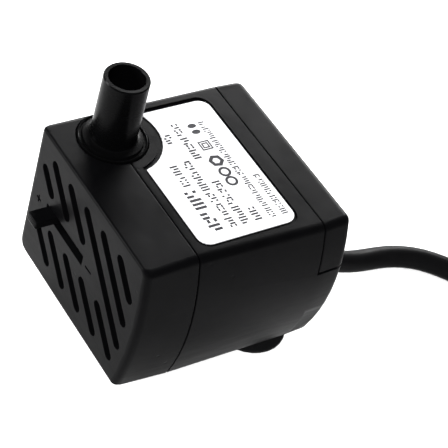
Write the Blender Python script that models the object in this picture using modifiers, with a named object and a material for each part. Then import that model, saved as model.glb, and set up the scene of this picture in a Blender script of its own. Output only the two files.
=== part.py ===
"""A small submersible fountain pump with its mains cord, in metres with +Z up.

The origin is on the floor, under the middle of the pump. The strainer cover faces -Y, the cord
leaves towards +Y, the outlet points up, and the bowed side of the body is the one at +X.
"""

import math

import bmesh
import bpy
from mathutils import Matrix, Vector

GAP = 0.0003  # left between neighbouring pieces
WALL = 0.0015  # of the cover, the housing and the cap

# The body, from the strainer face to the cord's face. Its left side is flat and its right side
# is bowed: a shallow arc whose widest point is the bulge.
BODY_BOTTOM = 0.00355
BODY_TOP = 0.0371
BODY_FRONT = -0.0216
BODY_REAR = 0.02615
# Y, X of the left side, X of the bulge, Z of the bulge, radius of the arc
STATIONS = (
    (BODY_FRONT, -0.0231, 0.02105, 0.0215, 0.079),
    (-0.00966, -0.02315, 0.02233, 0.0195, 0.050),
    (0.0196, -0.02305, 0.0232, 0.0206, 0.046),
    (BODY_REAR, -0.0227, 0.0230, 0.0209, 0.046),
)
BOTTOM_LEFT_ROUND = 0.0025
BOTTOM_RIGHT_ROUND = 0.0005
TOP_LEFT_ROUND = 0.0010
TOP_RIGHT_ROUND = 0.0014
# Along X and along Z, as the upright edges of the ends are rounder than the level ones
FRONT_ROUND = (0.0015, 0.0005)
REAR_ROUND = (0.0019, 0.0013)
SEAM_ROUND = (0.00015, 0.00015)

COVER_REAR = -0.0098
HOUSING_FRONT = -0.0095
CAP_FRONT = 0.0194
CAP_BOTTOM = 0.0261
LEDGE_FRONT = 0.0191
LEDGE_TOP = 0.02545

# The strainer face
SLOT_WIDTH = 0.0024
SLOT_LINES = [0.01035 + 0.00665 * k for k in range(-2, 6)]  # X + Z along each slanted slot
BANDED_LINES = 5  # the first lines stop at the band beside the level slot
SLOT_X = (-0.0195, 0.0172)
SLOT_Z = (0.0080, 0.0334)
BAND_Z = (0.0168, 0.0246)
SHORTEST_SLOT = 0.0040
LEVEL_SLOT_X = (-0.0157, -0.0002)
LEVEL_SLOT_Z = (0.0195, 0.0222)
KNOB_X = (-0.0152, -0.0117)
KNOB_Z = (0.0198, 0.0219)
KNOB_TIP = -0.02615
REGULATOR_TRAVEL = 0.0110
MARK_DEPTH = 0.0003

# The outlet
NOZZLE_X = -0.0153
NOZZLE_Y = -0.0097
NOZZLE_TOP = 0.0532
NOZZLE_RADIUS = 0.0047  # at the top
NOZZLE_BORE = 0.0037
SPIGOT_RADIUS = 0.0036
SPIGOT_BORE = 0.0031
SPIGOT_BOTTOM = 0.0245
SHOULDER = 0.0315
FLANGE_BOTTOM = 0.0361
FLANGE_RADIUS = 0.00725
NOTCH_RADIUS = 0.0075
NOTCH_FLOOR = 0.0358
PAD_RADIUS = 0.0090
PAD_BOTTOM = 0.0340
SEAT_HOLE = 0.0048

# The label in its recess on the top
LABEL_X = (-0.0200, 0.0166)
LABEL_Y = (-0.0073, 0.01515)
LABEL_ROUND = 0.0025
LABEL_ARC = 0.0103  # about the outlet
LABEL_THICKNESS = 0.0002
RECESS_X = (-0.0210, 0.0174)
RECESS_Y = (-0.0080, 0.0156)
RECESS_DEPTH = 0.0004
RECESS_ROUND = 0.0030
RECESS_ARC = 0.0094

# The rotor and what holds it, on one axis along Y
AXIS_X = 0.0
AXIS_Z = 0.0208
BULKHEAD_FRONT = -0.0048
BULKHEAD_REAR = -0.0033
WELL_RADIUS = 0.0070
WELL_END = 0.0120
WELL_OUTER = 0.0079
WELL_OUTER_END = 0.0128
SHAFT_RADIUS = 0.0010
BUSH_BORE = 0.00106
BUSH_RADIUS = 0.0022
BUSH_POCKET = 0.0025
CHAMBER_RADIUS = 0.0132
CHAMBER_BORE = 0.0120
CHAMBER_FRONT = -0.0156
CHAMBER_REAR = -0.0051
SNOUT_RADIUS = 0.0057
SNOUT_BORE = 0.0045
SNOUT_FRONT = -0.0183
BLADES = 6

# The motor's iron and coil
CORE_Z = (0.0158, 0.0258)
CORE_HALF_WIDTH = 0.0135
CORE_FRONT = -0.0020
YOKE_Y = (0.0173, 0.0209)
POLE_RADIUS = 0.0081
COIL_HALF_WIDTH = 0.0076

# The feet: X and Y of each
FEET = {
    "suction_cup_rear_right": (0.0122, 0.0162),
    "suction_cup_rear_left": (-0.0122, 0.0162),
    "suction_cup_front": (0.0, 0.0005),
}
FOOT_RADIUS = 0.0082
STUD_RADIUS = 0.0021
STUD_TOP = 0.0069
SOCKET_RADIUS = 0.0024
SOCKET_TOP = 0.0072
BOSS_RADIUS = 0.0040
BOSS_TOP = 0.0085

# The cord
CORD_RADIUS = 0.0025
EXIT = (0.0068, BODY_REAR, 0.0090)
EXIT_HOLE = 0.0033
# The strain relief's centreline and its radius there
RELIEF = (
    (0.0068, 0.0168, 0.0090, 0.0030),
    (0.0068, 0.02645, 0.0090, 0.0030),
    (0.0068, 0.0265, 0.0090, 0.0036),
    (0.0068, 0.0275, 0.0090, 0.0036),
    (0.0068, 0.0285, 0.0089, 0.0031),
    (0.0069, 0.0312, 0.0087, 0.0028),
    (0.0070, 0.0344, 0.0081, 0.0027),
    (0.0071, 0.0369, 0.0073, 0.0026),
)
# Where the cord goes from its strain relief to the coil, chosen by hand
CORD_ROUTE = (
    (0.00712, 0.0374, 0.0071),
    (0.00735, 0.0408, 0.0058),
    (0.00755, 0.0443, 0.0045),
    (0.00760, 0.0475, 0.0036),
    (0.00760, 0.0508, 0.0029),
    (0.00785, 0.0541, 0.0026),
    (0.00860, 0.0575, 0.0025),
    (0.01000, 0.0608, 0.0025),
    (0.01230, 0.0643, 0.0025),
    (0.01620, 0.0680, 0.0025),
    (0.02150, 0.0719, 0.0025),
    (0.02730, 0.0757, 0.0025),
    (0.03320, 0.0795, 0.0025),
    (0.03900, 0.0838, 0.0025),
    (0.04450, 0.0889, 0.0025),
)
COIL_X = 0.0215
COIL_Y = 0.1128
COIL_TURN_RADIUS = 0.0280  # at the middle of the turns
COIL_SIDE = 0.0150  # of the square bundle of turns
COIL_ROUND = 0.0020
TIE_ANGLE = 165.0  # round the coil, from +X
TIE_WIDTH = 0.0050
TIE_THICKNESS = 0.0008
# The last part turn lies on top of the others, from one angle to another, and then the tail
# goes to the plug
TOP_TURN = (214.0, 350.0)
TOP_HEIGHT = 0.0178
TAIL_ROUTE = (
    (0.0491, 0.1150, 0.0178),
    (0.0482, 0.1200, 0.0179),
    (0.0462, 0.1250, 0.0182),
    (0.0430, 0.1297, 0.0189),
    (0.0388, 0.1333, 0.0201),
    (0.0340, 0.1353, 0.0215),
    (0.0286, 0.1361, 0.0224),
)
PLUG_X = 0.0277  # the cord enters here, and the plug points to -X
PLUG_Y = 0.1362
PLUG_Z = 0.0226
# Distance along the plug, half its width, half its thickness, corner radius
PLUG_SECTIONS = (
    (0.0000, 0.0029, 0.0029, 0.0029),
    (0.0060, 0.0034, 0.0034, 0.0034),
    (0.0130, 0.0041, 0.0041, 0.0041),
    (0.0145, 0.0060, 0.0050, 0.0045),
    (0.0165, 0.0098, 0.0064, 0.0050),
    (0.0200, 0.0112, 0.0070, 0.0048),
    (0.0260, 0.0109, 0.0071, 0.0045),
    (0.0340, 0.0116, 0.0072, 0.0042),
    (0.0375, 0.0117, 0.0072, 0.0040),
    (0.0382, 0.0112, 0.0067, 0.0036),
)
BLADE_SPACING = 0.0127
BLADE_WIDTH = 0.00635
BLADE_THICKNESS = 0.0015
BLADE_LENGTH = 0.0159

# Turns a piece that is made along +Z so that it lies along an axis.
TURNED = {
    "X": Matrix(((0, 0, 1), (1, 0, 0), (0, 1, 0))).to_4x4(),
    "Y": Matrix(((1, 0, 0), (0, 0, 1), (0, -1, 0))).to_4x4(),
    "Z": Matrix.Identity(4),
}
# Turns an outline that is drawn in X and Y so that it faces along an axis.
FACING = {
    "Y": Matrix(((1, 0, 0), (0, 0, -1), (0, 1, 0))).to_4x4(),
    "Z": Matrix.Identity(4),
}


def clear_scene():
    for obj in list(bpy.data.objects):
        bpy.data.objects.remove(obj, do_unlink=True)


def collection(name):
    made = bpy.data.collections.new(name)
    bpy.context.scene.collection.children.link(made)
    return made


def material(name, colour, roughness, metallic=0.0):
    made = bpy.data.materials.new(name)
    made.use_nodes = True
    shader = made.node_tree.nodes["Principled BSDF"]
    shader.inputs["Base Color"].default_value = (*colour, 1.0)
    shader.inputs["Roughness"].default_value = roughness
    shader.inputs["Metallic"].default_value = metallic
    return made


def keep(name, mesh, finish=None, at=(0, 0, 0)):
    """A part with its material, or a hidden cutter where no material is given."""
    obj = bpy.data.objects.new(name, mesh)
    obj.location = at
    if finish is None:
        cutters.objects.link(obj)
        obj.hide_render = True
        obj.display_type = "WIRE"
        return obj
    parts.objects.link(obj)
    mesh.materials.append(finish)
    mesh.shade_smooth()
    mesh.set_sharp_from_angle(angle=math.radians(35))
    return obj


def from_bmesh(bm, name, finish=None, at=(0, 0, 0)):
    bmesh.ops.recalc_face_normals(bm, faces=bm.faces)
    mesh = bpy.data.meshes.new(name)
    bm.to_mesh(mesh)
    bm.free()
    return keep(name, mesh, finish, at)


def block(name, x, y, z, finish=None):
    """A box between two values along each axis."""
    bm = bmesh.new()
    bmesh.ops.create_cube(bm, size=1.0)
    size = Matrix.Diagonal((x[1] - x[0], y[1] - y[0], z[1] - z[0], 1.0))
    middle = Matrix.Translation(((x[0] + x[1]) / 2, (y[0] + y[1]) / 2, (z[0] + z[1]) / 2))
    bmesh.ops.transform(bm, matrix=middle @ size, verts=bm.verts)
    return from_bmesh(bm, name, finish)


def rod(name, axis, start, length, radius, finish=None, sides=32):
    """A cylinder from a point along an axis."""
    bm = bmesh.new()
    bmesh.ops.create_cone(
        bm, cap_ends=True, segments=sides, radius1=radius, radius2=radius, depth=length
    )
    shift = Matrix.Translation((0, 0, length / 2))
    bmesh.ops.transform(bm, matrix=TURNED[axis] @ shift, verts=bm.verts)
    return from_bmesh(bm, name, finish, start)


def turned(name, axis, centre, profile, finish=None, steps=32, ring=False):
    """A turned piece: its profile, (radius, height), runs down its outer side. A ring's profile
    comes back up its inner side and closes."""
    bm = bmesh.new()
    points = [bm.verts.new((radius, 0, height)) for radius, height in profile]
    for first, second in zip(points, points[1:]):
        bm.edges.new((first, second))
    if ring:
        bm.edges.new((points[-1], points[0]))
    mesh = bpy.data.meshes.new(name)
    bm.to_mesh(mesh)
    bm.free()
    obj = keep(name, mesh, finish, centre)
    obj.rotation_euler = TURNED[axis].to_euler()
    screw = obj.modifiers.new("turn", "SCREW")
    screw.steps = steps
    screw.render_steps = steps
    screw.use_merge_vertices = True
    screw.merge_threshold = 0.00001
    screw.use_smooth_shade = True
    return obj


def solid_of(curve, name, finish=None, place=None):
    """The closed mesh of a curve, with its caps welded on."""
    guide = bpy.data.objects.new(name + "_guide", curve)
    cutters.objects.link(guide)
    guide.hide_render = True
    shown = guide.evaluated_get(bpy.context.evaluated_depsgraph_get())
    mesh = bpy.data.meshes.new_from_object(shown)
    bpy.data.objects.remove(guide)
    bm = bmesh.new()
    bm.from_mesh(mesh)
    bpy.data.meshes.remove(mesh)
    bmesh.ops.remove_doubles(bm, verts=bm.verts, dist=0.000002)
    if place is not None:
        bmesh.ops.transform(bm, matrix=place, verts=bm.verts)
    return from_bmesh(bm, name, finish)


def plate(name, outline, facing, low, high, finish=None):
    """A flat outline given thickness along the axis that it faces."""
    curve = bpy.data.curves.new(name, "CURVE")
    curve.dimensions = "2D"
    curve.fill_mode = "BOTH"
    curve.extrude = (high - low) / 2
    spline = curve.splines.new("POLY")
    spline.points.add(len(outline) - 1)
    for point, (x, y) in zip(spline.points, outline):
        point.co = (x, y, 0, 1)
    spline.use_cyclic_u = True
    middle = (low + high) / 2
    shift = Matrix.Translation((0, middle, 0) if facing == "Y" else (0, 0, middle))
    return solid_of(curve, name, finish, shift @ FACING[facing])


def tube(name, points, radius, finish, resolution=3, radii=None):
    """A round tube along points, of one radius or of a radius at each point."""
    curve = bpy.data.curves.new(name, "CURVE")
    curve.dimensions = "3D"
    curve.bevel_depth = radius
    curve.bevel_resolution = resolution
    curve.use_fill_caps = True
    spline = curve.splines.new("POLY")
    spline.points.add(len(points) - 1)
    for index, (x, y, z) in enumerate(points):
        spline.points[index].co = (x, y, z, 1)
        if radii:
            spline.points[index].radius = radii[index] / radius
    return solid_of(curve, name, finish)


def loft(name, rings, finish=None):
    """A closed solid through rings that have the same number of points."""
    bm = bmesh.new()
    rows = [[bm.verts.new(point) for point in ring] for ring in rings]
    count = len(rows[0])
    for near, far in zip(rows, rows[1:]):
        for i in range(count):
            j = (i + 1) % count
            bm.faces.new((near[i], near[j], far[j], far[i]))
    bm.faces.new(rows[0])
    bm.faces.new(rows[-1])
    return from_bmesh(bm, name, finish)


def boolean(target, tool, operation):
    change = target.modifiers.new(tool.name, "BOOLEAN")
    change.operation = operation
    change.solver = "EXACT"
    change.object = tool


def cut(target, *tools):
    for tool in tools:
        boolean(target, tool, "DIFFERENCE")


def join(target, *tools):
    for tool in tools:
        boolean(target, tool, "UNION")


def arc(centre, radius, start, end, steps):
    """Points of a circle's arc between two angles in degrees."""
    angles = [math.radians(start + (end - start) * i / steps) for i in range(steps + 1)]
    return [(centre[0] + radius * math.cos(a), centre[1] + radius * math.sin(a)) for a in angles]


def bent_corner(before, corner, after, steps=4):
    """A rounded corner as a parabola that touches both of its sides."""
    points = []
    for i in range(steps + 1):
        t = i / steps
        points.append(
            tuple(
                (1 - t) ** 2 * a + 2 * t * (1 - t) * b + t**2 * c
                for a, b, c in zip(before, corner, after)
            )
        )
    return points


def station(y):
    """The body's left side, bulge, height of the bulge and arc radius at a distance along it."""
    for near, far in zip(STATIONS, STATIONS[1:]):
        if y <= far[0] or far is STATIONS[-1]:
            share = (y - near[0]) / (far[0] - near[0])
            return [a + (b - a) * share for a, b in zip(near[1:], far[1:])]


def side_x(y, z):
    """The X of the bowed side."""
    _, bulge, bulge_z, radius = station(y)
    return bulge - (z - bulge_z) ** 2 / (2 * radius)


def body_ring(y, inset_x=0.0, inset_z=0.0):
    """The body's outline across its length, moved inwards along X and along Z."""
    left = station(y)[0] + inset_x
    low = BODY_BOTTOM + inset_z
    high = BODY_TOP - inset_z

    def side(z):
        return side_x(y, z) - inset_x

    def rounded(radius):
        return max(radius - inset_z, 0.0003)

    a = rounded(BOTTOM_LEFT_ROUND)
    b = rounded(BOTTOM_RIGHT_ROUND)
    c = rounded(TOP_RIGHT_ROUND)
    d = rounded(TOP_LEFT_ROUND)
    outline = bent_corner((left, low + a), (left, low), (left + a, low))
    outline += bent_corner((side(low) - b, low), (side(low), low), (side(low + b), low + b))
    heights = [low + b + (high - c - low - b) * i / 9 for i in range(1, 9)]
    outline += [(side(z), z) for z in heights]
    outline += bent_corner((side(high - c), high - c), (side(high), high), (side(high) - c, high))
    outline += bent_corner((left + d, high), (left, high), (left, high - d))
    return [(x, y, z) for x, z in outline]


def round_inset(radius, depth):
    """How far a rounded edge has drawn in at a depth behind the end."""
    if depth >= radius:
        return 0.0
    return radius - math.sqrt(radius**2 - (radius - depth) ** 2)


def rounded_end(y, radii, direction, steps=3):
    """Place, inset along X and inset along Z of the rings that round an end, from it inwards."""
    shares = [1 - math.cos(math.radians(90 * i / steps)) for i in range(steps + 1)]
    depths = sorted({radius * share for radius in radii for share in shares})
    return [(y + direction * d, *[round_inset(radius, d) for radius in radii]) for d in depths]


def body_shell(name, front, front_round, rear, rear_round, finish=None, inset=0.0):
    """A length of the body with rounded ends."""
    first = rounded_end(front, front_round, 1) if front_round else [(front, 0.0, 0.0)]
    last = rounded_end(rear, rear_round, -1)[::-1] if rear_round else [(rear, 0.0, 0.0)]
    middle = [(row[0], 0.0, 0.0) for row in STATIONS if first[-1][0] < row[0] < last[0][0]]
    rings = [body_ring(y, inset + x, inset + z) for y, x, z in first + middle + last]
    return loft(name, rings, finish)


def label_outline(x, y, radius, arc_radius):
    """A rectangle with three round corners and the outlet's circle cut out of the fourth."""
    outlet = (NOZZLE_X, NOZZLE_Y)
    side = math.degrees(math.acos((x[0] - NOZZLE_X) / arc_radius))
    front = math.degrees(math.asin((y[0] - NOZZLE_Y) / arc_radius))
    outline = arc(outlet, arc_radius, side, front, 12)
    outline += arc((x[1] - radius, y[0] + radius), radius, -90, 0, 5)
    outline += arc((x[1] - radius, y[1] - radius), radius, 0, 90, 5)
    outline += arc((x[0] + radius, y[1] - radius), radius, 90, 180, 5)
    return outline


def slot_outline(start, end, width):
    """A slot with round ends whose tips are at two points."""
    along = (Vector(end) - Vector(start)).normalized()
    first = Vector(start) + along * width / 2
    last = Vector(end) - along * width / 2
    turn = math.degrees(math.atan2(along.y, along.x))
    outline = arc(first, width / 2, turn + 90, turn + 270, 6)
    return outline + arc(last, width / 2, turn - 90, turn + 90, 6)


def slot_tips():
    """The two tips, in X and Z, of every slanted slot."""
    tips = []
    for number, line in enumerate(SLOT_LINES):
        low = max(SLOT_Z[0], line - SLOT_X[1])
        high = min(SLOT_Z[1], line - SLOT_X[0])
        spans = [(low, high)]
        if number < BANDED_LINES:
            spans = [(low, min(high, BAND_Z[0])), (BAND_Z[1], high)]
        tips += [((line - a, a), (line - b, b)) for a, b in spans if b - a > SHORTEST_SLOT]
    return tips


def smooth_line(points, spacing):
    """Points at even steps along one smooth curve through all the given points."""
    knots = [Vector(point) for point in points]
    knots = [2 * knots[0] - knots[1], *knots, 2 * knots[-1] - knots[-2]]
    fine = []
    for a, b, c, d in zip(knots, knots[1:], knots[2:], knots[3:]):
        for i in range(20):
            t = i / 20
            bend = 2 * a - 5 * b + 4 * c - d
            twist = 3 * b - a - 3 * c + d
            fine.append((2 * b + (c - a) * t + bend * t**2 + twist * t**3) / 2)
    fine.append(knots[-2])
    length = sum((q - p).length for p, q in zip(fine, fine[1:]))
    count = max(2, round(length / spacing))
    line = [fine[0]]
    walked = 0.0
    for p, q in zip(fine, fine[1:]):
        step = (q - p).length
        while len(line) < count and walked + step >= length * len(line) / count:
            line.append(p.lerp(q, (length * len(line) / count - walked) / step))
        walked += step
    return [*line, fine[-1]]


def rounded_rectangle(half_width, half_height, radius, steps=4):
    """An outline about the origin."""
    outline = []
    for across, up, start in ((1, 1, 0), (-1, 1, 90), (-1, -1, 180), (1, -1, 270)):
        centre = (across * (half_width - radius), up * (half_height - radius))
        outline += arc(centre, radius, start, start + 90, steps)
    return outline


def make_cover(plastic):
    cover = body_shell("front_cover", BODY_FRONT, FRONT_ROUND, COVER_REAR, SEAM_ROUND, plastic)
    hollow = body_shell("cover_hollow", BODY_FRONT + WALL, 0, COVER_REAR + WALL, 0, inset=WALL)
    cut(hollow, outlet_pad)
    cut(cover, hollow, outlet_notch, outlet_hole)
    deep = (BODY_FRONT - WALL, BODY_FRONT + 2 * WALL)
    for number, (start, end) in enumerate(slot_tips()):
        outline = slot_outline(start, end, SLOT_WIDTH)
        cut(cover, plate(f"strainer_slot_{number}", outline, "Y", *deep))
    cut(cover, block("level_slot", LEVEL_SLOT_X, deep, LEVEL_SLOT_Z))
    engraved = (BODY_FRONT - GAP, BODY_FRONT + MARK_DEPTH)
    cut(
        cover,
        block("plus_level", (-0.0198, -0.0180), engraved, (0.02025, 0.02075)),
        block("plus_upright", (-0.01915, -0.01865), engraved, (0.0196, 0.0214)),
        block("minus", (0.0010, 0.0034), engraved, (0.02045, 0.02095)),
    )


def make_regulator(plastic):
    """A flag behind the wall, and a knob that stands out of the level slot with a ribbed end."""
    knob = block("flow_regulator", KNOB_X, (KNOB_TIP, -0.0192), KNOB_Z, plastic)
    bevel = knob.modifiers.new("edges", "BEVEL")
    bevel.width = 0.0003
    bevel.segments = 2
    flag_z = (AXIS_Z - 0.0056, AXIS_Z + 0.0056)
    flag = slot_outline((-0.01695, AXIS_Z), (-0.00525, AXIS_Z), flag_z[1] - flag_z[0])
    join(knob, plate("regulator_flag", flag, "Y", -0.0198, -0.0186))
    for number in range(3):
        z = KNOB_Z[0] + 0.0005 + 0.0005 * number
        groove = block(
            f"knob_groove_{number}",
            (KNOB_X[0] - GAP, KNOB_X[1] + GAP),
            (KNOB_TIP - GAP, KNOB_TIP + 0.00025),
            (z, z + 0.0002),
        )
        cut(knob, groove)


def make_cap(plastic):
    cap = body_shell("rear_cap", CAP_FRONT, SEAM_ROUND, BODY_REAR, REAR_ROUND, plastic)
    hollow = body_shell("cap_hollow", CAP_FRONT - WALL, 0, BODY_REAR - WALL, 0, inset=WALL)
    below = block("below_cap", (-0.03, 0.03), (0.01, 0.03), (0.0, CAP_BOTTOM))
    cut(cap, below, hollow)


def make_housing(plastic):
    housing = body_shell("motor_housing", HOUSING_FRONT, SEAM_ROUND, BODY_REAR, REAR_ROUND, plastic)
    under_cap = block("under_cap", (-0.03, 0.03), (LEDGE_FRONT, 0.03), (LEDGE_TOP, 0.05))
    facet = []
    for y, top in ((0.0204, 0.0126), (0.0290, 0.0134)):
        lip = top + 0.0006
        deep = side_x(y, top) - 0.00035
        outline = [(0.0199, 0.003), (0.03, 0.003), (0.03, lip), (side_x(y, lip), lip), (deep, top)]
        facet.append([(x, y, z) for x, z in outline])
    relief = loft("corner_relief", facet)
    pocket = body_shell("front_pocket", HOUSING_FRONT - WALL, 0, BULKHEAD_FRONT, 0, inset=WALL)
    cut(pocket, outlet_pad)
    cavity = body_shell("motor_cavity", BULKHEAD_REAR, 0, BODY_REAR - WALL, 0, inset=WALL)
    cut(
        cavity,
        rod("well_wall", "Y", (AXIS_X, -0.006, AXIS_Z), WELL_OUTER_END + 0.006, WELL_OUTER),
        rod("bush_boss", "Y", (AXIS_X, 0.0, AXIS_Z), 0.0139, BUSH_POCKET + 0.0009),
        *[
            rod(f"boss_{name}", "Z", (x, y, 0.004), BOSS_TOP - 0.004, BOSS_RADIUS, sides=24)
            for name, (x, y) in FEET.items()
        ],
    )
    recess = label_outline(RECESS_X, RECESS_Y, RECESS_ROUND, RECESS_ARC)
    cut(
        housing,
        under_cap,
        relief,
        pocket,
        cavity,
        rod("well_bore", "Y", (AXIS_X, -0.006, AXIS_Z), WELL_END + 0.006, WELL_RADIUS),
        rod("bush_pocket", "Y", (AXIS_X, 0.010, AXIS_Z), 0.0031, BUSH_POCKET, sides=24),
        plate("label_recess", recess, "Z", BODY_TOP - RECESS_DEPTH, BODY_TOP + WALL),
        outlet_notch,
        outlet_hole,
        rod("exit_hole", "Y", (EXIT[0], 0.0165, EXIT[2]), 0.0120, EXIT_HOLE, sides=24),
        *[
            rod(f"socket_{name}", "Z", (x, y, 0.002), SOCKET_TOP - 0.002, SOCKET_RADIUS, sides=24)
            for name, (x, y) in FEET.items()
        ],
    )


def make_nozzle(plastic):
    top = NOZZLE_TOP
    foot = BODY_TOP + 0.0007
    bead = BODY_TOP + 0.0004
    turned(
        "outlet_nozzle",
        "Z",
        (NOZZLE_X, NOZZLE_Y, 0),
        [
            (NOZZLE_RADIUS - 0.0002, top),
            (NOZZLE_RADIUS, top - 0.00025),
            (NOZZLE_RADIUS + 0.0001, foot + 0.0006),
            (NOZZLE_RADIUS + 0.0003, foot + 0.0002),
            (NOZZLE_RADIUS + 0.0007, foot),
            (0.0062, foot - 0.00005),
            (0.0064, foot - 0.0006),
            (0.0067, foot - 0.0006),
            (0.0068, bead - 0.0001),
            (0.0070, bead),
            (0.0072, bead - 0.0001),
            (FLANGE_RADIUS, bead - 0.0003),
            (FLANGE_RADIUS, FLANGE_BOTTOM),
            (SEAT_HOLE - GAP, FLANGE_BOTTOM),
            (SEAT_HOLE - GAP, SHOULDER),
            (SPIGOT_RADIUS, SHOULDER),
            (SPIGOT_RADIUS, SPIGOT_BOTTOM + 0.0005),
            (SPIGOT_RADIUS - 0.0002, SPIGOT_BOTTOM),
            (SPIGOT_BORE, SPIGOT_BOTTOM),
            (SPIGOT_BORE, SHOULDER),
            (NOZZLE_BORE, SHOULDER + 0.0015),
            (NOZZLE_BORE, top - 0.0001),
            (NOZZLE_BORE + 0.0001, top),
        ],
        plastic,
        steps=32,
        ring=True,
    )


def make_chamber(plastic):
    """The volute: a cup open at the back, its intake snout, and the duct up to the outlet."""
    chamber = turned(
        "pump_chamber",
        "Y",
        (AXIS_X, 0, AXIS_Z),
        [
            (CHAMBER_RADIUS, CHAMBER_REAR),
            (CHAMBER_RADIUS, CHAMBER_FRONT),
            (SNOUT_RADIUS, CHAMBER_FRONT),
            (SNOUT_RADIUS, SNOUT_FRONT),
            (SNOUT_BORE, SNOUT_FRONT),
            (SNOUT_BORE, CHAMBER_FRONT + 0.0012),
            (CHAMBER_BORE, CHAMBER_FRONT + 0.0012),
            (CHAMBER_BORE, CHAMBER_REAR),
        ][::-1],
        plastic,
        steps=40,
        ring=True,
    )
    duct_y = (NOZZLE_Y - 0.0042, NOZZLE_Y + 0.0042)
    hub = rod("hub", "Y", (AXIS_X, -0.0176, AXIS_Z), 0.0026, BUSH_POCKET + 0.0006, sides=24)
    duct = rod("duct", "Z", (NOZZLE_X, NOZZLE_Y, 0.0190), 0.0122, 0.0044)
    throat = block("throat", (NOZZLE_X - 0.0004, -0.0115), duct_y, (0.0192, 0.0265))
    join(chamber, hub)
    for number in range(3):
        angle = math.radians(90 + 120 * number)
        turn = Matrix.Rotation(-angle, 4, "Y")
        rib = block(f"hub_rib_{number}", (0.0025, 0.0050), (-0.0176, -0.0152), (-0.0005, 0.0005))
        rib.data.transform(Matrix.Translation((AXIS_X, 0, AXIS_Z)) @ turn)
        join(chamber, rib)
    join(chamber, duct, throat)
    cut(
        chamber,
        rod("chamber_clear", "Y", (AXIS_X, -0.0144, AXIS_Z), 0.02, CHAMBER_BORE, sides=48),
        rod("front_bush_pocket", "Y", (AXIS_X, -0.0167, AXIS_Z), 0.003, BUSH_POCKET - 0.0001, sides=24),
        rod("duct_socket", "Z", (NOZZLE_X, NOZZLE_Y, 0.0242), 0.01, SPIGOT_RADIUS + 0.00012),
        rod("duct_bore", "Z", (NOZZLE_X, NOZZLE_Y, 0.0205), 0.01, SPIGOT_BORE),
        block("throat_bore", (NOZZLE_X - 0.0004, -0.0080), (-0.0124, -0.0070), (0.0207, 0.0250)),
    )


def blade_outline():
    """The hub and the curved blades, as one outline about the rotor's axis."""
    hub = 0.0032
    tip = 0.0104
    sweep = 50.0
    half = math.degrees(0.0005 / tip)
    outline = []
    for number in range(BLADES):
        start = 360 / BLADES * number
        out = [(hub + (tip - hub) * i / 8, start - sweep * (i / 8) ** 1.3) for i in range(9)]
        thick = [half * tip / radius for radius, _ in out]
        edge = [(radius, turn + t) for (radius, turn), t in zip(out, thick)]
        back = [(radius, turn - t) for (radius, turn), t in zip(out, thick)]
        outline += back + edge[::-1]
        outline += [(hub, edge[0][1] + (360 / BLADES - 2 * thick[0]) * i / 4) for i in range(1, 4)]
    return [
        (radius * math.cos(math.radians(turn)), radius * math.sin(math.radians(turn)))
        for radius, turn in outline
    ]


def make_rotor(plastic, ferrite, acetal):
    axis = (AXIS_X, 0, AXIS_Z)
    wheel = plate("impeller", blade_outline(), "Y", -0.0128, -0.0070, plastic)
    wheel.location = axis
    disc = rod("impeller_disc", "Y", (AXIS_X, -0.0075, AXIS_Z), 0.0013, 0.0102, sides=48)
    boss = rod("impeller_boss", "Y", (AXIS_X, -0.0066, AXIS_Z), 0.0038, 0.0034, sides=24)
    join(wheel, disc, boss)
    cut(wheel, rod("impeller_bore", "Y", (AXIS_X, -0.02, AXIS_Z), 0.03, 0.00215, sides=24))
    magnet = [(0.0060, 0.0105), (0.0062, 0.0103), (0.0062, -0.0023), (0.0060, -0.0025)]
    magnet += [(0.0022, -0.0025), (0.0022, 0.0105)]
    turned("rotor_magnet", "Y", axis, magnet, ferrite, ring=True)
    sleeve = [(0.0020, 0.0108), (0.0020, -0.0134), (0.00110, -0.0134), (0.00110, 0.0108)]
    turned("rotor_sleeve", "Y", axis, sleeve, acetal, steps=24, ring=True)


def make_bearings(steel, rubber):
    rod("rotor_shaft", "Y", (AXIS_X, -0.0162, AXIS_Z), 0.0289, SHAFT_RADIUS, steel, sides=24)
    for name, low, high in (("front_bush", -0.0165, -0.0140), ("rear_bush", 0.0113, 0.0129)):
        ring = [(BUSH_RADIUS, high), (BUSH_RADIUS, low), (BUSH_BORE, low), (BUSH_BORE, high)]
        turned(name, "Y", (AXIS_X, 0, AXIS_Z), ring, rubber, steps=24, ring=True)


def core_outline(grow):
    """The laminations seen from above: two limbs joined by the yoke behind the rotor."""
    outer = CORE_HALF_WIDTH + grow
    pole = 0.0055 - grow
    limb = 0.0095 - grow
    shoe_end = 0.0115 + grow
    front = CORE_FRONT - grow
    rear = YOKE_Y[1] + grow
    half = [(outer, rear), (outer, front), (pole, front), (pole, shoe_end)]
    half += [(limb, shoe_end), (limb, YOKE_Y[0] - grow)]
    return half + [(-x, y) for x, y in half[::-1]]


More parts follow.
